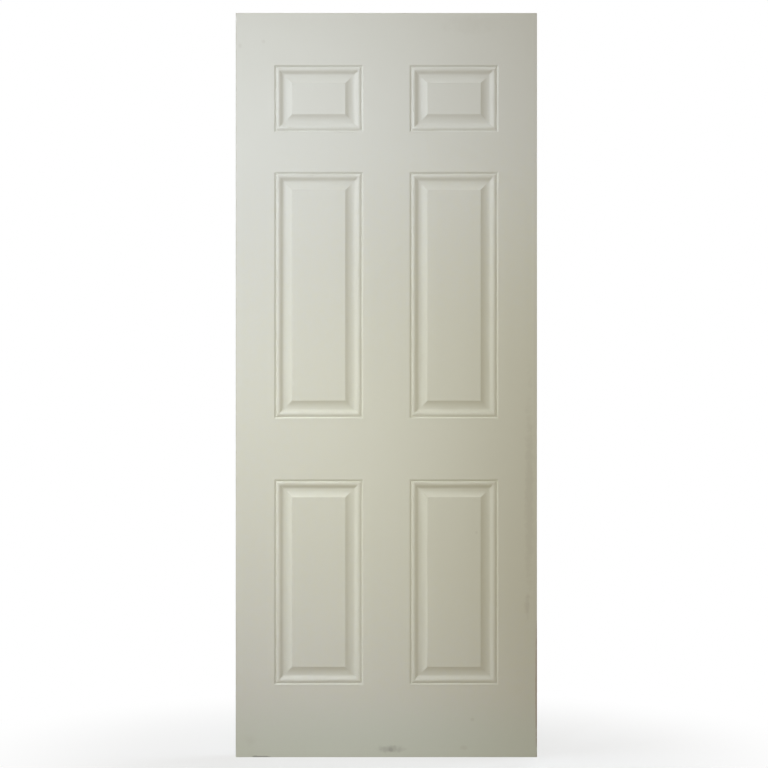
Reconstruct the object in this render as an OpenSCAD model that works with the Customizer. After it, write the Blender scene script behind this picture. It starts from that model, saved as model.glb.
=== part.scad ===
// Insulated entry door leaf with six raised panels on each face.
// Two pressed steel skins close a timber frame of two stiles and two rails, with a
// block of timber behind the lock stile and rigid foam in all the space that is left.
// Frame: X across the leaf, Y through its thickness with the front face at -Y, +Z up.
// The origin is the middle of the bottom edge. Sizes are in millimetres.

/* [Leaf] */
// Width of the leaf over its two steel edges
door_w = 826; // [700:1:1000]
// Height of the leaf
door_h = 2040; // [1900:1:2500]
// Thickness of the leaf over both skins
door_t = 44; // [40:0.5:60]

/* [Panel layout] */
// Flat face between a long edge and the nearest panel
stile_face_w = 105; // [80:1:140]
// Flat face between the two columns of panels
mullion_face_w = 126; // [60:1:180]
// Flat face above the top panels
top_rail_face_h = 142; // [90:1:200]
// Flat face between the top and middle panels
frieze_rail_face_h = 108; // [60:1:160]
// Flat face between the middle and bottom panels, at lock height
lock_rail_face_h = 166; // [90:1:240]
// Flat face below the bottom panels
bottom_rail_face_h = 198; // [120:1:280]
// Height of a top panel over its outer groove
top_panel_h = 185; // [140:1:300]
// Height of a bottom panel over its outer groove
bottom_panel_h = 564; // [300:1:700]

/* [Panel moulding] */
// Width of the groove's outer wall
groove_w = 5.5; // [2:0.5:8]
// Depth of the groove below the face
groove_depth = 2.8; // [1:0.1:4]
// Width of the bead's outer side, from the groove to its crown
bead_w = 6.5; // [4:0.5:16]
// Depth of the bead's crown below the face
bead_drop = 0.4; // [0.2:0.1:1]
// Width of the bead's inner side, from its crown to the valley
ogee_w = 16; // [12:0.5:26]
// Steepest slope of the bead's inner side, as a multiple of its mean slope
ogee_steepness = 1.65; // [1.2:0.05:1.9]
// Depth of the valley below the face
valley_depth = 7; // [5:0.1:8]
// Flat width along the bottom of the valley
valley_w = 1.5; // [0.5:0.5:6]
// Width of the hollow bevel that climbs to the raised field
cove_w = 20.5; // [14:0.5:40]
// Depth of the raised field below the face
field_drop = 0.7; // [0.2:0.1:3]

/* [Steel skin] */
// Thickness of the steel sheet
skin_t = 0.6; // [0.4:0.1:1.2]
// Outside radius of the bend along each long edge
bend_r = 1.6; // [1.3:0.1:4]
// How far the sheet wraps round each long edge
lip_d = 10; // [6:0.5:16]
// How far the sheet's hem is turned into the stile
hem_w = 7; // [4:0.5:14]
// Free width beside the hem in its saw kerf
kerf_gap = 0.5; // [0.2:0.1:2]

/* [Timber frame] */
// Width of each stile
stile_w = 32; // [24:1:60]
// Height of the top rail
top_rail_h = 32; // [24:1:90]
// Height of the bottom rail
bottom_rail_h = 38; // [24:1:120]
// Foam left between the lock block and the edge of the nearest pressed panel
lock_block_gap = 3; // [1:1:12]
// Height of the lock block
lock_block_h = 380; // [200:1:500]
// Height of the middle of the lock block above the bottom edge
lock_z = 1040; // [900:1:1150]

/* [Staples] */
// Thickness of the staple's square wire
staple_wire = 1.4; // [1:0.1:2]
// Width of the staple over its legs
staple_crown = 25; // [12:1:30]
// Length of the staple's legs
staple_leg = 18; // [10:1:18]

/* [Hidden] */
$fn = 48;

paint = [0.83, 0.83, 0.77];
softwood = [0.80, 0.65, 0.44];
veneer_lumber = [0.72, 0.56, 0.38];
foam = [0.92, 0.86, 0.62];
bright_wire = [0.70, 0.71, 0.73];

// Layout of the six panels
panel_w = (door_w - 2 * stile_face_w - mullion_face_w) / 2;
panel_x = (mullion_face_w + panel_w) / 2;
middle_panel_h = door_h - top_rail_face_h - top_panel_h - frieze_rail_face_h
               - lock_rail_face_h - bottom_panel_h - bottom_rail_face_h;
bottom_panel_z = bottom_rail_face_h + bottom_panel_h / 2;
middle_panel_z = bottom_rail_face_h + bottom_panel_h + lock_rail_face_h + middle_panel_h / 2;
top_panel_z = door_h - top_rail_face_h - top_panel_h / 2;
// Each row of panels as [height of its middle, panel height]
panel_rows = [
    [bottom_panel_z, bottom_panel_h],
    [middle_panel_z, middle_panel_h],
    [top_panel_z, top_panel_h]
];

// Timber and foam fill the leaf between the skins
inner_t = door_t - 2 * skin_t;
stile_inner_x = door_w / 2 - stile_w;
core_h = door_h - top_rail_h - bottom_rail_h;
// The lock block fills the flat width beside the lock stile, less its gap
lock_block_w = stile_face_w - stile_w - lock_block_gap;

// Cutting tools reach this far past a face
reach = 1;
// Steps in each round stretch of the moulding
wall_steps = 4;
bead_steps = 4;
ogee_steps = 3;
cove_steps = 6;

// The bead's inner side is a convex arc, a straight slope and a concave arc
ogee_drop = valley_depth - bead_drop;
ogee_slope = ogee_steepness * atan(ogee_drop / ogee_w);
ogee_r = (ogee_w * tan(ogee_slope) - ogee_drop)
       / (2 * (sin(ogee_slope) * tan(ogee_slope) - 1 + cos(ogee_slope)));
// The hollow bevel is one arc, level at the valley and steepest at the field
cove_rise = valley_depth - field_drop;
cove_angle = 2 * atan(cove_rise / cove_w);
cove_r = cove_w / sin(cove_angle);

// Where each stretch of the moulding starts, measured in from the panel's outer edge
crown_u = groove_w + bead_w;
valley_u = crown_u + ogee_w;
cove_u = valley_u + valley_w;
border_w = cove_u + cove_w;

// The moulding's section as [depth, distance in from the outer edge]
function groove_wall() = [for (i = [1 : wall_steps])
    let (t = i / wall_steps)
    [groove_depth * (1 - cos(180 * t)) / 2, groove_w * t]];
function bead_outside() = [for (i = [1 : bead_steps])
    let (t = i / bead_steps)
    [groove_depth - (groove_depth - bead_drop) * sin(90 * t), groove_w + bead_w * t]];
function bead_inside() = [for (i = [1 : ogee_steps])
    let (a = ogee_slope * i / ogee_steps)
    [bead_drop + ogee_r * (1 - cos(a)), crown_u + ogee_r * sin(a)]];
function valley_bend() = [for (i = [0 : ogee_steps])
    let (a = ogee_slope * (1 - i / ogee_steps))
    [valley_depth - ogee_r * (1 - cos(a)), valley_u - ogee_r * sin(a)]];
function hollow_bevel() = [for (i = [0 : cove_steps])
    let (a = cove_angle * i / cove_steps)
    [valley_depth - cove_r * (1 - cos(a)), cove_u + cove_r * sin(a)]];
moulding = concat([[0, 0]], groove_wall(), bead_outside(), bead_inside(), valley_bend(),
                  hollow_bevel());

// One side of a panel's moulding, mitred at both ends, as the space pressed in from the face
module mitred_side(length, across) {
    intersection() {
        translate([-length / 2, 0, -across / 2])
            rotate([90, 0, 90])
                linear_extrude(length)
                    polygon(concat([[-reach, 0]], moulding, [[-reach, border_w]]));
        translate([0, valley_depth + reach, 0])
            rotate([90, 0, 0])
                linear_extrude(valley_depth + 3 * reach)
                    polygon([
                        [-length / 2, -across / 2],
                        [length / 2, -across / 2],
                        [length / 2 - border_w, border_w - across / 2],
                        [border_w - length / 2, border_w - across / 2]
                    ]);
    }
}

// The space that one panel's pressing takes below the face, which lies at y = 0
module panel_pressing(width, height) {
    for (turn = [0, 180]) {
        rotate([0, turn, 0]) mitred_side(width, height);
        rotate([0, turn + 90, 0]) mitred_side(height, width);
    }
    translate([border_w - width / 2, -reach, border_w - height / 2])
        cube([width - 2 * border_w, reach + field_drop, height - 2 * border_w]);
}

// All six pressings of the front face
module face_pressings() {
    for (row = panel_rows, side = [-1, 1])
        translate([side * panel_x, -door_t / 2, row[0]])
            panel_pressing(panel_w, row[1]);
}

// Plan section of the front skin's bend, lip and hem at the +X edge
module edge_fold_section() {
    bend_x = door_w / 2 - bend_r;
    bend_y = bend_r - door_t / 2;
    translate([bend_x, bend_y])
        intersection() {
            difference() {
                circle(bend_r);
                circle(bend_r - skin_t);
            }
            translate([0, -bend_r]) square(bend_r);
        }
    translate([door_w / 2 - skin_t, bend_y]) square([skin_t, lip_d - bend_r]);
    translate([door_w / 2 - hem_w, lip_d - skin_t - door_t / 2]) square([hem_w, skin_t]);
}

// Plan section of the whole front skin, without its pressings
module skin_section() {
    flat_w = door_w - 2 * bend_r;
    translate([-flat_w / 2, -door_t / 2]) square([flat_w, skin_t]);
    edge_fold_section();
    mirror([1, 0]) edge_fold_section();
}

// The front skin: one sheet, its panels pressed in and its long edges folded
module front_sheet() {
    difference() {
        union() {
            linear_extrude(door_h) skin_section();
            translate([0, skin_t, 0]) face_pressings();
        }
        face_pressings();
    }
}

// A staple driven from the front face into the butt joint at the +X stile
module staple(z) {
    left = stile_inner_x - staple_crown / 2;
    translate([left, -inner_t / 2, z - staple_wire / 2]) {
        cube([staple_crown, staple_wire, staple_wire]);
        cube([staple_wire, staple_leg, staple_wire]);
        translate([staple_crown - staple_wire, 0, 0])
            cube([staple_wire, staple_leg, staple_wire]);
    }
}

// The staples at all four corners, on both faces
module all_staples() {
    for (face = [0, 1], side = [0, 1], z = [bottom_rail_h / 2, door_h - top_rail_h / 2])
        mirror([0, face, 0]) mirror([side, 0, 0]) staple(z);
}

// Plan section of the stile at the +X edge: it fills the bends and is sawn for the hems
module stile_section() {
    round_r = bend_r - skin_t;
    edge_x = door_w / 2 - skin_t;
    exposed_t = door_t - 2 * lip_d;
    difference() {
        union() {
            translate([stile_inner_x, -inner_t / 2])
                square([edge_x - round_r - stile_inner_x, inner_t]);
            translate([stile_inner_x, round_r - inner_t / 2])
                square([edge_x - stile_inner_x, inner_t - 2 * round_r]);
            for (side = [-1, 1])
                translate([edge_x - round_r, side * (inner_t / 2 - round_r)]) circle(round_r);
            translate([edge_x - reach, -exposed_t / 2]) square([skin_t + reach, exposed_t]);
        }
        for (side = [0, 1])
            mirror([0, side])
                translate([door_w / 2 - hem_w, lip_d - skin_t - door_t / 2])
                    square([hem_w + reach, skin_t + kerf_gap]);
    }
}

// A stile with the staples' holes, at the +X edge
module stile() {
    difference() {
        linear_extrude(door_h) stile_section();
        all_staples();
    }
}

// A rail between the stiles with the staples' holes
module rail(height, z) {
    difference() {
        translate([-stile_inner_x, -inner_t / 2, z])
            cube([2 * stile_inner_x, inner_t, height]);
        all_staples();
    }
}

// The space of the lock block
module lock_block_space() {
    translate([stile_inner_x - lock_block_w, -inner_t / 2, lock_z - lock_block_h / 2])
        cube([lock_block_w, inner_t, lock_block_h]);
}

module front_skin() { color(paint) front_sheet(); }
module back_skin() { color(paint) mirror([0, 1, 0]) front_sheet(); }
module lock_stile() { color(veneer_lumber) stile(); }
module hinge_stile() { color(veneer_lumber) mirror([1, 0, 0]) stile(); }
module top_rail() { color(softwood) rail(top_rail_h, door_h - top_rail_h); }
module bottom_rail() { color(softwood) rail(bottom_rail_h, 0); }
module lock_block() { color(softwood) lock_block_space(); }
module foam_core() {
    color(foam)
        difference() {
            translate([-stile_inner_x, -inner_t / 2, bottom_rail_h])
                cube([2 * stile_inner_x, inner_t, core_h]);
            lock_block_space();
            translate([0, skin_t, 0]) face_pressings();
            mirror([0, 1, 0]) translate([0, skin_t, 0]) face_pressings();
        }
}
module frame_staples() { color(bright_wire) all_staples(); }

front_skin();
back_skin();
lock_stile();
hinge_stile();
top_rail();
bottom_rail();
lock_block();
foam_core();
frame_staples();
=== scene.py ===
# %% [markdown]
# # A front door leaf with six pressed panels
#
# The real object is an insulated entrance door leaf. Two sheets of painted steel close a timber
# frame filled with foam, and six raised panels are pressed into each sheet. This lesson gives
# that model its looks: sheet metal with smooth pressed mouldings, satin paint that shows its age,
# sawn timber on the edges, and a plain studio.
#
# All lengths are in metres. +X points to the lock edge, the front face looks to -Y, and +Z is up.

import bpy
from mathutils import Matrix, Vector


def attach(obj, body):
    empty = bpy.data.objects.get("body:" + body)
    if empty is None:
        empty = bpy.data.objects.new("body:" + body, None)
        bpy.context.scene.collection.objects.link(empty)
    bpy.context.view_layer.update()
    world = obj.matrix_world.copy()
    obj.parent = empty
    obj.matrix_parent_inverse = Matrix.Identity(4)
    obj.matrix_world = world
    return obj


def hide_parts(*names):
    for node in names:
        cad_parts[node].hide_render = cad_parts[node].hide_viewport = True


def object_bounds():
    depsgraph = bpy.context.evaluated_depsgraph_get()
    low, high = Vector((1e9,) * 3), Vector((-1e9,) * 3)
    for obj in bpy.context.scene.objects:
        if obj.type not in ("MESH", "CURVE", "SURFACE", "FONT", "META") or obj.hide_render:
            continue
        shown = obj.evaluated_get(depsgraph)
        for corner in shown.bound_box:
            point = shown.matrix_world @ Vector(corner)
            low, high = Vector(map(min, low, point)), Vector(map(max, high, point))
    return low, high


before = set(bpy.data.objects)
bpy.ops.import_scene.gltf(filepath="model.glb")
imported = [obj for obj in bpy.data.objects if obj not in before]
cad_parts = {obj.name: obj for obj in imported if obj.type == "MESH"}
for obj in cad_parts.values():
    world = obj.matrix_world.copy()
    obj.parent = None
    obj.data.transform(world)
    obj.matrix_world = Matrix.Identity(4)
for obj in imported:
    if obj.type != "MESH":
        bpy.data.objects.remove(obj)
cad_low, cad_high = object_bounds()
print("CAD nodes:", ", ".join(sorted(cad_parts)))

# %% Modules and the size of the leaf
import math

import bpy
from mathutils import Matrix, Vector

MM = 0.001
leaf_w, leaf_t, leaf_h = cad_high - cad_low
front_y = cad_low.y
print(f"leaf {leaf_w:.3f} x {leaf_h:.3f} m, {leaf_t:.3f} m thick")

# %% [markdown]
# ## The camera
#
# A door is best shown as an architect draws it: straight on, from half its height, through a long
# lens, so that all its lines stay parallel. A wide lens close by would be the other way, but it
# would swell the middle of the leaf. The leaf almost fills the height of the picture, and it stands
# a few millimetres off its middle, so the camera moves by those few millimetres and needs no shift.

# %% Place the camera
LENS_MM = 100.0
SENSOR_MM = 36.0
PICTURE_WIDTH = 2.1055  # what the square picture takes in at the front face
CAMERA_ASIDE = -0.0064
CAMERA_HEIGHT = leaf_h / 2 + 0.0030

camera = bpy.data.objects.new("camera", bpy.data.cameras.new("camera"))
bpy.context.scene.collection.objects.link(camera)
camera.data.lens = LENS_MM
camera.data.sensor_width = SENSOR_MM
camera_distance = PICTURE_WIDTH * LENS_MM / SENSOR_MM
camera.location = (CAMERA_ASIDE, front_y - camera_distance, CAMERA_HEIGHT)
camera.rotation_euler = (math.radians(90), 0, 0)
bpy.context.scene.camera = camera
print(f"camera {camera_distance:.2f} m in front of the leaf")

# %% [markdown]
# ## The studio light
#
# Shallow mouldings only show when light rakes across them. So the main softbox stands high on the
# left and not far in front of the leaf's own plane: each slope that faces up or left catches its
# light, and each one that faces down or right falls dark. Two small, weak softboxes stand further
# round to the front. Their beams are narrow: one lifts the upper part of the leaf and the other the
# lower part, and together they let it dim gently from its upper left to its lower right corner. All
# three are slightly cool, against the warm fill of the surroundings, so a lit slope looks cooler
# than a shaded one. The same three stand behind, turned half round, for whoever walks round the
# door.

# %% Three softboxes in front, and the same three behind
COOL_WHITE = (0.915, 1.0, 1.12)
# name: place, aim, size, spread in degrees, power in watts
SOFTBOXES = {
    "raking_softbox": ((-5.54, -2.01, 5.94), (0.0, 0.0, 1.0), 3.60, 180.0, 205.0),
    "upper_fill": ((-1.70, -4.75, 2.10), (-0.34, 0.0, 1.65), 1.0, 25.9, 2.78),
    "lower_fill": ((-1.20, -3.00, 2.55), (-0.27, 0.0, 0.51), 1.0, 15.2, 1.06),
}


def softbox(name, place, aim, size, spread, power):
    lamp = bpy.data.lights.new(name, "AREA")
    lamp.size = size
    lamp.spread = math.radians(spread)
    lamp.energy = power
    lamp.color = COOL_WHITE
    box = bpy.data.objects.new(name, lamp)
    box.location = place
    box.rotation_euler = (aim - place).to_track_quat("-Z", "Y").to_euler()
    box.visible_camera = False
    bpy.context.scene.collection.objects.link(box)


half_turn = Matrix.Rotation(math.pi, 3, "Z")
for name, (place, aim, size, spread, power) in SOFTBOXES.items():
    place, aim = Vector(place), Vector(aim)
    softbox(name, place, aim, size, spread, power)
    softbox(name + "_behind", half_turn @ place, half_turn @ aim, size, spread, power)

# %% [markdown]
# ## Reading node trees by name
#
# Every material and every Geometry Nodes tree below is built in code. A few small helpers keep that
# readable. An input is fed in one of two ways, by a link or by its own value, and one helper
# decides which. The others add a node, do one step of arithmetic, start a node group with named
# inputs and outputs, or do the steps that every material begins and ends with.

# %% Helpers for node trees
def feed(tree, socket, value):
    if isinstance(value, bpy.types.NodeSocket):
        tree.links.new(value, socket)
    else:
        socket.default_value = value


def node(tree, kind, inputs=None, **settings):
    made = tree.nodes.new(kind)
    for key, value in settings.items():
        setattr(made, key, value)
    for key, value in (inputs or {}).items():
        feed(tree, made.inputs[key], value)
    return made


def maths(tree, operation, *values):
    return node(tree, "ShaderNodeMath", dict(enumerate(values)), operation=operation).outputs[0]


def vector_maths(tree, operation, *values):
    made = node(tree, "ShaderNodeVectorMath", dict(enumerate(values)), operation=operation)
    return made.outputs["Value" if operation in ("LENGTH", "DOT_PRODUCT") else "Vector"]


def start_group(name, kind, inputs, outputs):
    tree = bpy.data.node_groups.new(name, kind)
    for label, (socket, default) in inputs.items():
        made = tree.interface.new_socket(label, in_out="INPUT", socket_type=socket)
        if default is not None:
            made.default_value = default
    for label, socket in outputs.items():
        tree.interface.new_socket(label, in_out="OUTPUT", socket_type=socket)
    return tree, tree.nodes.new("NodeGroupInput").outputs, tree.nodes.new("NodeGroupOutput").inputs


print("node helpers ready")

# %% Helpers to begin and end a material
def new_material(name):
    material = bpy.data.materials.new(name)
    material.use_nodes = True
    material.node_tree.nodes.clear()
    return material, material.node_tree


def place_in_metres(tree):
    return node(tree, "ShaderNodeTexCoord").outputs["Object"]


def finish_surface(tree, shader):
    node(tree, "ShaderNodeOutputMaterial", {"Surface": shader.outputs[0]})


print("material helpers ready")

# %% [markdown]
# ## The surroundings
#
# The backdrop is plain white and has no edge. The world shows white to the camera and gives the
# leaf only a dim, warm fill. The floor is a real pale surface near the leaf, where it carries the
# leaf's soft shadow, and it fades into the same white a little further out. It is there for the eye
# only: it throws no light back, so the fill stays even from top to bottom, and its underside is
# clear, so the bottom edge of the leaf can be looked at from below.

# %% World: white to the eye, a dim fill to the leaf
FILL_COLOUR = (1.074, 0.985, 0.788, 1.0)
FILL_STRENGTH = 0.315

world = bpy.data.worlds.new("studio")
world.use_nodes = True
bpy.context.scene.world = world
bpy.context.scene.view_settings.view_transform = "Standard"
sky = world.node_tree
sky.nodes.clear()
fill = node(sky, "ShaderNodeBackground", {"Color": FILL_COLOUR, "Strength": FILL_STRENGTH})
white = node(sky, "ShaderNodeBackground", {"Color": (1, 1, 1, 1), "Strength": 1.0})
seen = node(sky, "ShaderNodeLightPath").outputs["Is Camera Ray"]
mixed = node(sky, "ShaderNodeMixShader", {0: seen, 1: fill.outputs[0], 2: white.outputs[0]})
node(sky, "ShaderNodeOutputWorld", {"Surface": mixed.outputs[0]})
print("world fill", FILL_STRENGTH)

# %% Floor that fades into the white
FLOOR_RADIUS, FLOOR_SIDES = 6.0, 96
FADE_START, FADE_END = 0.35, 1.3
FLOOR_COLOUR = (0.80, 0.80, 0.79, 1.0)
FLOOR_GLOW = 0.6  # the share of plain white that the eye sees even beside the leaf


def floor_material():
    material, tree = new_material("pale_floor")
    place = place_in_metres(tree)
    grain = node(tree, "ShaderNodeTexNoise", {"Vector": place, "Scale": 60.0, "Detail": 4.0})
    bump = node(tree, "ShaderNodeBump", {
        "Height": grain.outputs[0], "Strength": 0.05, "Distance": MM})
    seen_here = node(tree, "ShaderNodeLightPath").outputs["Is Camera Ray"]
    matte = node(tree, "ShaderNodeBsdfPrincipled", {
        "Base Color": FLOOR_COLOUR, "Roughness": 0.9, "Normal": bump.outputs[0]})
    glow = node(tree, "ShaderNodeEmission", {"Color": (1, 1, 1, 1), "Strength": 1.0})
    distance = vector_maths(tree, "LENGTH", place)
    fade = node(tree, "ShaderNodeMapRange", {
        "Value": distance, "From Min": FADE_START, "From Max": FADE_END, "To Min": FLOOR_GLOW},
        interpolation_type="SMOOTHSTEP").outputs[0]
    mix = node(tree, "ShaderNodeMixShader", {0: fade, 1: matte.outputs[0], 2: glow.outputs[0]})
    from_below = node(tree, "ShaderNodeNewGeometry").outputs["Backfacing"]
    shown = maths(tree, "MULTIPLY", seen_here, maths(tree, "SUBTRACT", 1.0, from_below))
    clear = node(tree, "ShaderNodeBsdfTransparent")
    both = node(tree, "ShaderNodeMixShader", {0: shown, 1: clear.outputs[0], 2: mix.outputs[0]})
    finish_surface(tree, both)
    return material


bpy.ops.mesh.primitive_circle_add(vertices=FLOOR_SIDES, radius=FLOOR_RADIUS, fill_type="NGON")
floor = bpy.context.object
floor.name = "floor"
floor.data.materials.append(floor_material())
print("floor radius", FLOOR_RADIUS)

# %% [markdown]
# ## One moulding section for six panels
#
# Each panel's moulding has four parts, from the flat face inwards: a narrow groove, a round bead
# that rolls over into a deep valley, and a hollow bevel that climbs to the raised field. The
# section is drawn once as a chain of points, each one a depth below the face and a distance in from
# the panel's outer edge. Every round stretch is an arc or a sine, so a handful of sizes gives the
# whole line.

# %% Sizes of the moulding
GROOVE_W, GROOVE_DEPTH = 5.5 * MM, 2.8 * MM
BEAD_W, BEAD_DROP = 6.5 * MM, 0.4 * MM
OGEE_W, OGEE_STEEPNESS = 16 * MM, 1.65
VALLEY_DEPTH, VALLEY_W = 7 * MM, 1.5 * MM
BEVEL_W, FIELD_DROP = 20.5 * MM, 0.7 * MM
FIELD_EDGE_R = 2.2 * MM
STEPS = 10


def arc_stretch(start, radius, angle_from, angle_to, steps=STEPS):
    """Points of a stretch that turns steadily between two slopes, with a signed radius."""
    depth, inward = start
    points = []
    for i in range(1, steps + 1):
        a = angle_from + (angle_to - angle_from) * i / steps
        points.append((depth - radius * (math.cos(a) - math.cos(angle_from)),
                       inward + radius * (math.sin(a) - math.sin(angle_from))))
    return points


def groove_and_bead():
    wall = [(GROOVE_DEPTH * (1 - math.cos(math.pi * i / STEPS)) / 2, GROOVE_W * i / STEPS)
            for i in range(STEPS + 1)]
    rise = GROOVE_DEPTH - BEAD_DROP
    bead = [(GROOVE_DEPTH - rise * math.sin(math.pi / 2 * i / STEPS),
             GROOVE_W + BEAD_W * i / STEPS) for i in range(1, STEPS + 1)]
    return wall + bead


def bead_to_valley(crown):
    """The bead's inner side: a round shoulder, a straight slope and a round foot."""
    drop = VALLEY_DEPTH - BEAD_DROP
    slope = OGEE_STEEPNESS * math.atan(drop / OGEE_W)
    turn_r = (OGEE_W * math.tan(slope) - drop) / (2 * (1 / math.cos(slope) - 1))
    foot = (VALLEY_DEPTH - turn_r * (1 - math.cos(slope)),
            crown[1] + OGEE_W - turn_r * math.sin(slope))
    return arc_stretch(crown, turn_r, 0, slope) + [foot] + arc_stretch(foot, -turn_r, slope, 0)


def hollow_bevel(start):
    """The hollow that climbs to the field, and the small round where it meets the field."""
    steepest = 2 * math.atan((VALLEY_DEPTH - FIELD_DROP) / BEVEL_W)
    hollow_r = BEVEL_W / math.sin(steepest) - FIELD_EDGE_R
    hollow = arc_stretch(start, -hollow_r, 0, -steepest, 2 * STEPS)
    return hollow + arc_stretch(hollow[-1], FIELD_EDGE_R, -steepest, 0)


def moulding_section():
    points = groove_and_bead()
    points += bead_to_valley(points[-1])
    points.append((VALLEY_DEPTH, points[-1][1] + VALLEY_W))
    return points + hollow_bevel(points[-1])


section = moulding_section()
border_w = section[-1][1]
deepest = max(depth for depth, inward in section)
print(f"{len(section)} points, {border_w / MM:.2f} mm wide, {deepest / MM:.2f} mm deep")

# %% [markdown]
# ## The flat sheet
#
# Before the press closes, the skin is a flat sheet with its two long edges folded: a small bend, a
# lip round the edge of the leaf, and a hem turned into the stile. The sheet's outer surface is
# drawn as a section across the leaf, and that section is repeated at each height where a row of
# panels starts or ends. This gives a grid with few faces, and the six faces that the press will
# shape carry a mark, the attribute "panel".

# %% Where the panels lie
STILE_FACE_W, MULLION_FACE_W = 105 * MM, 126 * MM
TOP_RAIL_FACE_H, FRIEZE_FACE_H = 142 * MM, 108 * MM
LOCK_RAIL_FACE_H, BOTTOM_RAIL_FACE_H = 166 * MM, 198 * MM
TOP_PANEL_H, BOTTOM_PANEL_H = 185 * MM, 564 * MM

panel_w = (leaf_w - 2 * STILE_FACE_W - MULLION_FACE_W) / 2
middle_low = BOTTOM_RAIL_FACE_H + BOTTOM_PANEL_H + LOCK_RAIL_FACE_H
top_low = leaf_h - TOP_RAIL_FACE_H - TOP_PANEL_H
panel_rows = [
    (BOTTOM_RAIL_FACE_H, BOTTOM_RAIL_FACE_H + BOTTOM_PANEL_H),
    (middle_low, top_low - FRIEZE_FACE_H),
    (top_low, top_low + TOP_PANEL_H),
]
for low, high in panel_rows:
    print(f"two panels {panel_w:.3f} m wide, from {low:.3f} to {high:.3f} m high")

# %% The sheet with its bends, lips and hems
SKIN_T = 0.6 * MM
BEND_R = 1.6 * MM
LIP_D = 10 * MM
HEM_W, HEM_R = 7 * MM, 0.9 * MM
PANEL_MARK = "panel"


def quarter_turn(centre, radius, start, steps=8):
    angles = [math.radians(start + 90 * i / steps) for i in range(steps + 1)]
    return [(centre[0] + radius * math.cos(a), centre[1] + radius * math.sin(a)) for a in angles]


def sheet_section():
    """The outer line of the front sheet, from its -X hem round the face to its +X hem."""
    edge_x, lip_y = leaf_w / 2, front_y + LIP_D
    fold = quarter_turn((edge_x - BEND_R, front_y + BEND_R), BEND_R, -90)
    fold += quarter_turn((edge_x - HEM_R, lip_y - HEM_R), HEM_R, 0)
    fold.append((edge_x - HEM_W, lip_y))
    inner, outer = MULLION_FACE_W / 2, MULLION_FACE_W / 2 + panel_w
    flat = [(x, front_y) for x in (-outer, -inner, inner, outer)]
    return [(-x, y) for x, y in reversed(fold)] + flat + fold


def flat_sheet():
    across = sheet_section()
    heights = sorted({0.0, leaf_h, *(z for row in panel_rows for z in row)})
    columns = len(across)
    corners = [(x, y, z) for z in heights for x, y in across]
    faces, marks = [], []
    panel_columns = [i for i in range(columns - 1)
                     if across[i][1] == across[i + 1][1] == front_y
                     and abs(across[i + 1][0] - across[i][0] - panel_w) < MM]
    for row in range(len(heights) - 1):
        for column in range(columns - 1):
            first = row * columns + column
            faces.append((first, first + 1, first + 1 + columns, first + columns))
            marks.append(column in panel_columns and row % 2 == 1)
    mesh = bpy.data.meshes.new("flat_sheet")
    mesh.from_pydata(corners, [], faces)
    mesh.attributes.new(PANEL_MARK, "BOOLEAN", "FACE").data.foreach_set("value", marks)
    print(len(faces), "faces,", sum(marks), "of them panels")
    return mesh


sheet_mesh = flat_sheet()

# %% [markdown]
# ## Pressing the panels with Geometry Nodes
#
# The real press stamps the same moulding round every panel, whatever the panel's size. That is a
# rule, so Geometry Nodes follow it: the outline of each marked face becomes a closed curve, and the
# moulding section is swept along it. A corner of such a sweep lies on the diagonal, where the
# section has to be longer by the square root of two, so that the mitre comes out true. The marked
# faces shrink by the moulding's width and sink a little, and they become the raised fields.

# %% The section as a line that nodes can sweep
def section_line():
    mesh = bpy.data.meshes.new("moulding_section")
    corners = [(depth, inward * math.sqrt(2), 0) for depth, inward in section]
    mesh.from_pydata(corners, [(i, i + 1) for i in range(len(corners) - 1)], [])
    line = bpy.data.objects.new("moulding_section", mesh)
    bpy.context.scene.collection.objects.link(line)
    return line


line = section_line()
print("section line with", len(line.data.vertices), "points")

# %% The node tree of the press
WELD = 0.01 * MM  # points closer than this become one


def press_tree():
    tree, given, made = start_group("press_panels", "GeometryNodeTree", {
        "Sheet": ("NodeSocketGeometry", None),
        "Moulding Section": ("NodeSocketObject", None),
        "Moulding Width": ("NodeSocketFloat", 0.05),
        "Field Drop": ("NodeSocketFloat", 0.001),
        "Paint": ("NodeSocketMaterial", None),
    }, {"Skin": "NodeSocketGeometry"})
    marked = node(tree, "GeometryNodeInputNamedAttribute", {"Name": PANEL_MARK},
                  data_type="BOOLEAN").outputs["Attribute"]
    parts = node(tree, "GeometryNodeSeparateGeometry", {
        "Geometry": given["Sheet"], "Selection": marked}, domain="FACE")
    panels, plate = parts.outputs["Selection"], parts.outputs["Inverted"]
    mouldings = swept_mouldings(tree, panels, given["Moulding Section"])
    fields = raised_fields(tree, panels, given["Moulding Width"], given["Field Drop"])
    joined = node(tree, "GeometryNodeJoinGeometry")
    for part in (plate, mouldings, fields):
        tree.links.new(part, joined.inputs[0])
    welded = node(tree, "GeometryNodeMergeByDistance", {
        "Geometry": joined.outputs[0], "Distance": WELD})
    real = node(tree, "GeometryNodeRealizeInstances", {"Geometry": welded.outputs[0]})
    painted = node(tree, "GeometryNodeSetMaterial", {
        "Geometry": real.outputs[0], "Material": given["Paint"]})
    tree.links.new(painted.outputs[0], made["Skin"])
    return tree


def swept_mouldings(tree, panels, section_object):
    outline = node(tree, "GeometryNodeMeshToCurve", {"Mesh": panels})
    into_leaf = node(tree, "GeometryNodeSetCurveNormal", {
        "Curve": outline.outputs[0], "Normal": (0, 1, 0)}, mode="FREE")
    shape = node(tree, "GeometryNodeObjectInfo", {"Object": section_object})
    shape_line = node(tree, "GeometryNodeMeshToCurve", {"Mesh": shape.outputs["Geometry"]})
    sweep = node(tree, "GeometryNodeCurveToMesh", {
        "Curve": into_leaf.outputs[0], "Profile Curve": shape_line.outputs[0]})
    return node(tree, "GeometryNodeFlipFaces", {"Mesh": sweep.outputs[0]}).outputs[0]


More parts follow.
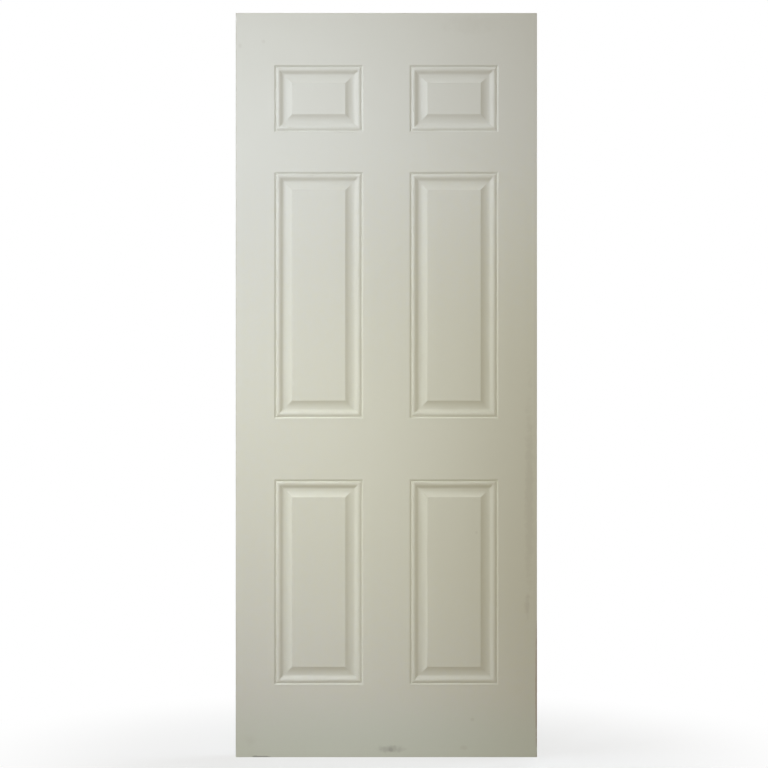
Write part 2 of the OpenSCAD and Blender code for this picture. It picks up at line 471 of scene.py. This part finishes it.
def raised_fields(tree, panels, width, drop):
    place = node(tree, "GeometryNodeInputPosition").outputs[0]
    middle = node(tree, "GeometryNodeFieldOnDomain", {0: place},
                  data_type="FLOAT_VECTOR", domain="FACE").outputs[0]
    side = vector_maths(tree, "SIGN", vector_maths(tree, "SUBTRACT", place, middle))
    inset = node(tree, "ShaderNodeCombineXYZ", {"X": width, "Z": width}).outputs[0]
    sink = node(tree, "ShaderNodeCombineXYZ", {"Y": drop}).outputs[0]
    move = vector_maths(tree, "SUBTRACT", sink, vector_maths(tree, "MULTIPLY", side, inset))
    return node(tree, "GeometryNodeSetPosition", {"Geometry": panels, "Offset": move}).outputs[0]


press = press_tree()
print("press has inputs", [s.name for s in press.interface.items_tree if s.in_out == "INPUT"])

# %% Running modifiers and keeping plain meshes
def set_input(modifier, label, value):
    """A modifier's input is known by its socket's identifier, so the label is looked up first."""
    for item in modifier.node_group.interface.items_tree:
        if item.item_type == "SOCKET" and item.in_out == "INPUT" and item.name == label:
            modifier[item.identifier] = value
            return
    raise KeyError(label)


def bake_modifiers(obj):
    """Replaces the object's mesh with what its modifiers make of it, and removes them."""
    evaluated = obj.evaluated_get(bpy.context.evaluated_depsgraph_get())
    mesh = bpy.data.meshes.new_from_object(evaluated)
    obj.modifiers.clear()
    obj.data = mesh


print("modifier helpers ready")

# %% [markdown]
# ## Effects that several materials share
#
# Marks, grain and peel are shader node groups: each is built once and placed in a material with its
# own values. They put out masks and heights only, so the shader itself stays in the material. All
# of them read Object coordinates. The pieces stand at the origin, so those are the leaf's own
# metres, and a mark can be placed on the door as one would point to it with a ruler.

# %% Group: a soft mark at one place on the front face
SHAKE_GAIN = 4.0  # the noise stays near its middle value, so its swing is stretched


def soft_mark_group():
    tree, given, made = start_group("soft_mark", "ShaderNodeTree", {
        "Place": ("NodeSocketVector", None),
        "Centre": ("NodeSocketVector", None),
        "Half Size": ("NodeSocketVector", None),
        "Edge": ("NodeSocketFloat", 0.6),
        "Ragged": ("NodeSocketFloat", 0.3),
        "Ragged Scale": ("NodeSocketFloat", 60.0),
    }, {"Mask": "NodeSocketFloat"})
    offset = vector_maths(tree, "SUBTRACT", given["Place"], given["Centre"])
    stretched = vector_maths(tree, "DIVIDE", offset, given["Half Size"])
    flat = vector_maths(tree, "MULTIPLY", stretched, (1, 0, 1))
    noise = node(tree, "ShaderNodeTexNoise", {
        "Vector": given["Place"], "Scale": given["Ragged Scale"], "Detail": 5.0}).outputs[0]
    shake = maths(tree, "MULTIPLY", maths(tree, "SUBTRACT", noise, 0.5), given["Ragged"])
    reach = maths(tree, "ADD", vector_maths(tree, "LENGTH", flat),
                  maths(tree, "MULTIPLY", shake, SHAKE_GAIN))
    inner = maths(tree, "SUBTRACT", 1.0, given["Edge"])
    mask = node(tree, "ShaderNodeMapRange", {
        "Value": reach, "From Min": inner, "From Max": 1.0, "To Min": 1.0, "To Max": 0.0},
        interpolation_type="SMOOTHSTEP").outputs[0]
    depth = node(tree, "ShaderNodeSeparateXYZ", {0: given["Place"]}).outputs["Y"]
    in_front = maths(tree, "LESS_THAN", depth, 0.0)
    tree.links.new(maths(tree, "MULTIPLY", mask, in_front), made["Mask"])
    return tree


soft_mark = soft_mark_group()
print("group", soft_mark.name)

# %% Group: sprayed paint on rolled sheet
CLOUD_SCALE = 7.0


def sprayed_sheet_group():
    """Height in millimetres: orange peel from the spray gun, over the slow waves of thin sheet."""
    tree, given, made = start_group("sprayed_sheet", "ShaderNodeTree", {
        "Place": ("NodeSocketVector", None),
        "Peel Scale": ("NodeSocketFloat", 420.0),
        "Peel Height": ("NodeSocketFloat", 0.006),
        "Wave Scale": ("NodeSocketFloat", 5.0),
        "Wave Height": ("NodeSocketFloat", 0.10),
    }, {"Height": "NodeSocketFloat", "Cloud": "NodeSocketFloat"})
    peel = node(tree, "ShaderNodeTexNoise", {
        "Vector": given["Place"], "Scale": given["Peel Scale"], "Detail": 2.0}).outputs[0]
    wave = node(tree, "ShaderNodeTexNoise", {
        "Vector": given["Place"], "Scale": given["Wave Scale"], "Detail": 1.0}).outputs[0]
    height = maths(tree, "ADD", maths(tree, "MULTIPLY", peel, given["Peel Height"]),
                   maths(tree, "MULTIPLY", wave, given["Wave Height"]))
    cloud = node(tree, "ShaderNodeTexNoise", {
        "Vector": given["Place"], "Scale": CLOUD_SCALE, "Detail": 4.0, "Roughness": 0.6}).outputs[0]
    tree.links.new(height, made["Height"])
    tree.links.new(cloud, made["Cloud"])
    return tree


sprayed_sheet = sprayed_sheet_group()
print("group", sprayed_sheet.name)

# %% Group: sawn softwood
BOARD_ASIDE, BOARD_ALONG = 0.03, 9.0  # how far off the next board's pattern may lie
BEND_SCALE, BEND_DEPTH = (8.0, 8.0, 1.2), 0.018
FIBRE_SCALE = (1800.0, 1800.0, 45.0)
LATE_WOOD_POWER, RING_END = 3.0, 0.9


def timber_group():
    """Growth rings cut lengthwise and fine fibres, with the grain along Z."""
    tree, given, made = start_group("timber", "ShaderNodeTree", {
        "Place": ("NodeSocketVector", None),
        "Pith": ("NodeSocketVector", (0.05, 0.03, 0.0)),
        "Ring Width": ("NodeSocketFloat", 0.0035),
        "Board Length": ("NodeSocketFloat", 0.6),
    }, {"Ring": "NodeSocketFloat", "Fibre": "NodeSocketFloat", "Board": "NodeSocketFloat"})
    length_z = node(tree, "ShaderNodeSeparateXYZ", {0: given["Place"]}).outputs["Z"]
    board = maths(tree, "FLOOR", maths(tree, "DIVIDE", length_z, given["Board Length"]))
    tone = node(tree, "ShaderNodeTexWhiteNoise", {"W": board},
                noise_dimensions="1D").outputs["Value"]
    shift = node(tree, "ShaderNodeCombineXYZ", {
        "X": maths(tree, "MULTIPLY", tone, BOARD_ASIDE),
        "Z": maths(tree, "MULTIPLY", tone, BOARD_ALONG)}).outputs[0]
    moved = vector_maths(tree, "ADD", given["Place"], shift)
    slow = vector_maths(tree, "MULTIPLY", moved, BEND_SCALE)
    bend = node(tree, "ShaderNodeTexNoise", {
        "Vector": slow, "Scale": 1.0, "Detail": 2.0}).outputs[0]
    from_pith = vector_maths(tree, "SUBTRACT", moved, given["Pith"])
    across = vector_maths(tree, "MULTIPLY", from_pith, (1, 1, 0))
    radius = maths(tree, "ADD", vector_maths(tree, "LENGTH", across),
                   maths(tree, "MULTIPLY", bend, BEND_DEPTH))
    turn = maths(tree, "FRACT", maths(tree, "DIVIDE", radius, given["Ring Width"]))
    late_wood = maths(tree, "POWER", turn, LATE_WOOD_POWER)
    edge_fade = node(tree, "ShaderNodeMapRange", {
        "Value": turn, "From Min": RING_END, "From Max": 1.0,
        "To Min": 1.0, "To Max": 0.0}).outputs[0]
    fine = vector_maths(tree, "MULTIPLY", moved, FIBRE_SCALE)
    fibre = node(tree, "ShaderNodeTexNoise", {
        "Vector": fine, "Scale": 1.0, "Detail": 3.0}).outputs[0]
    tree.links.new(maths(tree, "MULTIPLY", late_wood, edge_fade), made["Ring"])
    tree.links.new(fibre, made["Fibre"])
    tree.links.new(tone, made["Board"])
    return tree


timber = timber_group()
print("group", timber.name)

# %% Helpers to place a group and to mix two colours
def use_group(tree, group, values):
    made = tree.nodes.new("ShaderNodeGroup")
    made.node_tree = group
    for key, value in values.items():
        feed(tree, made.inputs[key], value)
    return made.outputs


def mix_colour(tree, share, first, second):
    """Of the Mix node's many sockets, inputs 6 and 7 and output 2 are the ones for colours."""
    made = node(tree, "ShaderNodeMix", {0: share, 6: first, 7: second}, data_type="RGBA")
    return made.outputs[2]


print("colour helpers ready")

# %% [markdown]
# ## Door paint, its years of use and its painted shade
#
# The skins are painted at the factory in a satin off-white, which has yellowed a little. The paint
# is sprayed, so up close it has a fine orange peel. Hands have greyed it along the lock edge, feet
# have scuffed it near the bottom, and a few specks sit elsewhere. Each mark is one soft, ragged
# patch at its own place on the front face. Two very large, faint patches of the same kind carry the
# slow change of tone over the front, which is yellower and darker at its middle and right and
# greyer
# at its foot: partly yellowed paint, and partly painted shade where the light falls off from the
# upper left. The back face has none of the patches. A thin darker line of painted shade, for the
# shade of the bent sheet, follows the edges of both faces.

# %% Where the marks are
# name: centre (x, z), half size (x, z), softness of the edge, raggedness, strength, colour
# the dust colour is real dust in the marks, and also painted shade along the edges of the leaf
DUST_AND_EDGE_SHADE, SCUFF, RUST = (0.42, 0.36, 0.27, 1.0), (0.16, 0.14, 0.11, 1.0), (0.30, 0.17, 0.08, 1.0)
MARKS = {
    "hand_band": ((0.392, 0.730), (0.016, 0.380), 0.8, 0.35, 0.16, DUST_AND_EDGE_SHADE),
    "hand_spot": ((0.387, 0.415), (0.010, 0.050), 0.8, 0.30, 0.20, DUST_AND_EDGE_SHADE),
    "edge_stain": ((0.4118, 0.190), (0.0032, 0.235), 0.5, 0.20, 0.70, RUST),
    "kick_scuff": ((0.011, 0.022), (0.048, 0.014), 0.7, 0.30, 0.24, SCUFF),
    "kick_core": ((0.0115, 0.020), (0.010, 0.008), 0.6, 0.25, 0.22, SCUFF),
    "foot_nick": ((-0.345, 0.0015), (0.030, 0.0035), 0.5, 0.30, 0.55, SCUFF),
    "foot_patch": ((-0.372, 0.045), (0.022, 0.022), 0.9, 0.30, 0.07, DUST_AND_EDGE_SHADE),
    "low_speck": ((0.236, 0.103), (0.007, 0.007), 0.7, 0.20, 0.14, DUST_AND_EDGE_SHADE),
    "low_smear": ((0.214, 0.026), (0.015, 0.009), 0.8, 0.30, 0.12, DUST_AND_EDGE_SHADE),
    "middle_speck": ((0.247, 0.616), (0.006, 0.006), 0.7, 0.20, 0.14, DUST_AND_EDGE_SHADE),
    "high_speck": ((-0.336, 1.962), (0.007, 0.007), 0.7, 0.20, 0.12, DUST_AND_EDGE_SHADE),
    "high_smear": ((-0.401, 1.950), (0.007, 0.009), 0.7, 0.20, 0.12, DUST_AND_EDGE_SHADE),
    "top_cloud": ((0.230, 2.006), (0.100, 0.032), 0.9, 0.40, 0.06, DUST_AND_EDGE_SHADE),
}
print(len(MARKS), "marks")

# %% The paint material
PAINT = (0.790, 0.781, 0.718, 1.0)
AGED_PAINT = (0.771, 0.762, 0.698, 1.0)
SMOOTHEST, ROUGHEST = 0.40, 0.50
# a thin darker line of painted shade along the edges, where the sheet bends
PAINTED_EDGE_SHADE_W, PAINTED_EDGE_SHADE = 3.5 * MM, 0.28
# the same values as for a mark
# partly yellowed paint and partly painted shade: the front is darker and yellower at its middle and
# right, where the light falls off, and greyer at its foot
TONES_AND_PAINTED_SHADE = {
    "yellowed_and_shaded": ((0.45, 0.80), (1.60, 1.02), 0.75, 0.10, 1.00, (0.792, 0.770, 0.632, 1.0)),
    "greyed_and_shaded_low": ((0.00, 0.00), (1.20, 0.20), 0.80, 0.10, 0.80, (0.752, 0.786, 0.688, 1.0)),
}


def add_marks(tree, place, colour, marks):
    for (x, z), (half_x, half_z), edge, ragged, strength, tint in marks.values():
        mask = use_group(tree, soft_mark, {
            "Place": place, "Centre": (x, 0, z), "Half Size": (half_x, 1, half_z),
            "Edge": edge, "Ragged": ragged})[0]
        colour = mix_colour(tree, maths(tree, "MULTIPLY", mask, strength), colour, tint)
    return colour


def painted_edge_shade(tree, place):
    """Painted shade of the bent sheet: strongest right at the four edges of the face, and 0 a few
    millimetres further in.
    """
    spot = node(tree, "ShaderNodeSeparateXYZ", {0: place}).outputs
    from_middle = maths(tree, "ABSOLUTE", maths(tree, "SUBTRACT", spot["Z"], leaf_h / 2))
    from_side = maths(tree, "SUBTRACT", leaf_w / 2, maths(tree, "ABSOLUTE", spot["X"]))
    nearest = maths(tree, "MINIMUM", from_side, maths(tree, "SUBTRACT", leaf_h / 2, from_middle))
    return node(tree, "ShaderNodeMapRange", {
        "Value": nearest, "From Max": PAINTED_EDGE_SHADE_W, "To Min": PAINTED_EDGE_SHADE, "To Max": 0.0}).outputs[0]


def door_paint():
    material, tree = new_material("door_paint")
    place = place_in_metres(tree)
    sheet = use_group(tree, sprayed_sheet, {"Place": place})
    aged = mix_colour(tree, sheet["Cloud"], PAINT, AGED_PAINT)
    # two large patches of painted shade, mixed with yellowed paint, darken the front away from its
    # upper left
    toned = add_marks(tree, place, aged, TONES_AND_PAINTED_SHADE)
    # painted shade along the four edges of both faces, in the dust colour
    edge_shaded = mix_colour(tree, painted_edge_shade(tree, place), toned, DUST_AND_EDGE_SHADE)
    rough = node(tree, "ShaderNodeMapRange", {
        "Value": sheet["Cloud"], "To Min": SMOOTHEST, "To Max": ROUGHEST}).outputs[0]
    bump = node(tree, "ShaderNodeBump", {
        "Height": sheet["Height"], "Distance": MM, "Strength": 1.0}).outputs[0]
    shader = node(tree, "ShaderNodeBsdfPrincipled", {
        "Base Color": add_marks(tree, place, edge_shaded, MARKS), "Roughness": rough, "Normal": bump,
        "Specular IOR Level": 0.4})
    finish_surface(tree, shader)
    return material


paint = door_paint()
print("material", paint.name)

# %% [markdown]
# ## The two steel skins
#
# The press works on the outer surface only, so the wall thickness comes after it: Solidify grows
# the sheet inwards to its 0.6 mm. Then the shading is sorted out. Mitres and folds stay crisp
# edges, all other edges are smooth, and the Weighted Normal modifier lets the big flat faces decide
# their own normals, so the flats stay flat right up to the moulding. The second skin is the same
# sheet turned half round the upright axis.

# %% Crisp edges
CREASE_ANGLE = math.radians(32)
LEAST_RUN = 0.02 * MM  # a mitre's edges run across the leaf and up it at once


def is_mitre(mesh, edge):
    run = mesh.vertices[edge.vertices[0]].co - mesh.vertices[edge.vertices[1]].co
    return abs(run.x) > LEAST_RUN and abs(run.z) > LEAST_RUN


def mark_creases(mesh):
    faces_of = {}
    for polygon in mesh.polygons:
        for key in polygon.edge_keys:
            faces_of.setdefault(key, []).append(polygon.normal)
    count = 0
    for edge in mesh.edges:
        normals = faces_of.get(tuple(sorted(edge.vertices)), [])
        folded = len(normals) == 2 and normals[0].angle(normals[1], 0.0) > CREASE_ANGLE
        edge.use_edge_sharp = folded or is_mitre(mesh, edge)
        count += edge.use_edge_sharp
    return count


print("creases above", round(math.degrees(CREASE_ANGLE)), "degrees")

# %% Press, thicken and shade a skin
def press_skin(name, turn):
    skin = bpy.data.objects.new(name, sheet_mesh.copy())
    bpy.context.scene.collection.objects.link(skin)
    stamp = skin.modifiers.new("press", "NODES")
    stamp.node_group = press
    set_input(stamp, "Moulding Section", line)
    set_input(stamp, "Moulding Width", border_w)
    set_input(stamp, "Field Drop", FIELD_DROP)
    set_input(stamp, "Paint", paint)
    wall = skin.modifiers.new("wall", "SOLIDIFY")
    wall.thickness, wall.offset, wall.use_even_offset = SKIN_T, -1.0, True
    bake_modifiers(skin)
    skin.data.transform(turn)
    skin.data.polygons.foreach_set("use_smooth", [True] * len(skin.data.polygons))
    creases = mark_creases(skin.data)
    shading = skin.modifiers.new("flats", "WEIGHTED_NORMAL")
    shading.mode, shading.keep_sharp = "FACE_AREA", True
    bake_modifiers(skin)
    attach(skin, "root")
    print(f"{name}: {len(skin.data.polygons)} faces, {creases} crisp edges")
    return skin


front = press_skin("front_steel_skin", Matrix.Identity(4))
back = press_skin("back_steel_skin", Matrix.Rotation(math.pi, 4, "Z"))
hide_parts("front_skin")
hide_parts("back_skin")
bpy.data.objects.remove(line)

# %% [markdown]
# ## Timber, foam and staples
#
# The edges of the leaf are bare timber between the lips of the skins. The stiles are glued up from
# short lengths of pine, as such stiles are, so their tone steps from board to board. The rails are
# one length each, with the grain lying along the rail. Inside, the foam fills the leaf, and bright
# wire staples hold the corners. These are the CAD model's own solids with better surfaces.

# %% Timber material
RING_SHARE, FIBRE_SHARE, BOARD_SHARE = 0.75, 0.30, 0.25
RING_HEIGHT, FIBRE_HEIGHT = 0.03, 0.05  # in millimetres
STILE_LIGHT, STILE_DARK = (0.62, 0.42, 0.24, 1.0), (0.36, 0.20, 0.09, 1.0)
RAIL_LIGHT, RAIL_DARK = (0.74, 0.56, 0.35, 1.0), (0.47, 0.29, 0.14, 1.0)


def timber_material(name, light, dark, values, turn=(0.0, 0.0, 0.0)):
    material, tree = new_material(name)
    place = place_in_metres(tree)
    along = node(tree, "ShaderNodeMapping", {"Vector": place, "Rotation": turn}).outputs[0]
    grain = use_group(tree, timber, {"Place": along, **values})
    ringed = mix_colour(tree, maths(tree, "MULTIPLY", grain["Ring"], RING_SHARE), light, dark)
    fibred = mix_colour(tree, maths(tree, "MULTIPLY", grain["Fibre"], FIBRE_SHARE), ringed, dark)
    toned = mix_colour(tree, maths(tree, "MULTIPLY", grain["Board"], BOARD_SHARE), fibred, dark)
    height = maths(tree, "ADD", maths(tree, "MULTIPLY", grain["Fibre"], FIBRE_HEIGHT),
                   maths(tree, "MULTIPLY", grain["Ring"], RING_HEIGHT))
    bump = node(tree, "ShaderNodeBump", {
        "Height": height, "Distance": MM, "Strength": 1.0}).outputs[0]
    rough = node(tree, "ShaderNodeMapRange", {
        "Value": grain["Fibre"], "To Min": 0.62, "To Max": 0.82}).outputs[0]
    finish_surface(tree, node(tree, "ShaderNodeBsdfPrincipled", {
        "Base Color": toned, "Roughness": rough, "Normal": bump}))
    return material


stile_wood = timber_material("stile_timber", STILE_LIGHT, STILE_DARK, {
    "Pith": (0.47, 0.05, 0.0), "Ring Width": 4 * MM, "Board Length": 0.47})
rail_wood = timber_material("rail_timber", RAIL_LIGHT, RAIL_DARK, {
    "Pith": (0.03, 0.06, 0.0), "Ring Width": 3 * MM, "Board Length": 3.0},
    turn=(0.0, math.radians(90), 0.0))
print("materials", stile_wood.name, rail_wood.name)

# %% Foam and wire materials
FOAM_PALE, FOAM_DARK = (0.84, 0.72, 0.42, 1.0), (0.72, 0.56, 0.28, 1.0)
WIRE_DULL, WIRE_BRIGHT = (0.62, 0.63, 0.65, 1.0), (0.78, 0.79, 0.81, 1.0)


def foam_material():
    material, tree = new_material("core_foam")
    place = place_in_metres(tree)
    cells = node(tree, "ShaderNodeTexVoronoi", {"Vector": place, "Scale": 900.0},
                 feature="DISTANCE_TO_EDGE").outputs[0]
    blotch = node(tree, "ShaderNodeTexNoise", {
        "Vector": place, "Scale": 25.0, "Detail": 3.0}).outputs[0]
    tint = mix_colour(tree, blotch, FOAM_PALE, FOAM_DARK)
    bump = node(tree, "ShaderNodeBump", {
        "Height": cells, "Distance": 0.3 * MM, "Strength": 1.0}).outputs[0]
    finish_surface(tree, node(tree, "ShaderNodeBsdfPrincipled", {
        "Base Color": tint, "Roughness": 0.9, "Normal": bump}))
    return material


def wire_material():
    material, tree = new_material("staple_wire")
    place = place_in_metres(tree)
    spangle = node(tree, "ShaderNodeTexNoise", {
        "Vector": place, "Scale": 1200.0, "Detail": 2.0}).outputs[0]
    tint = mix_colour(tree, spangle, WIRE_DULL, WIRE_BRIGHT)
    rough = node(tree, "ShaderNodeMapRange", {
        "Value": spangle, "To Min": 0.25, "To Max": 0.45}).outputs[0]
    finish_surface(tree, node(tree, "ShaderNodeBsdfPrincipled", {
        "Base Color": tint, "Roughness": rough, "Metallic": 1.0}))
    return material


foam, wire = foam_material(), wire_material()
print("materials", foam.name, wire.name)

# %% Give every CAD solid its material
FINISHES = {
    "lock_stile": stile_wood,
    "hinge_stile": stile_wood,
    "top_rail": rail_wood,
    "bottom_rail": rail_wood,
    "lock_block": rail_wood,
    "foam_core": foam,
    "frame_staples": wire,
    "front_skin": paint,
    "back_skin": paint,
}
for cad_name, material in FINISHES.items():
    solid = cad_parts[cad_name]
    for slot in solid.material_slots:
        slot.material = material
    if not solid.material_slots:
        solid.data.materials.append(material)
    print(cad_name, "is", material.name)
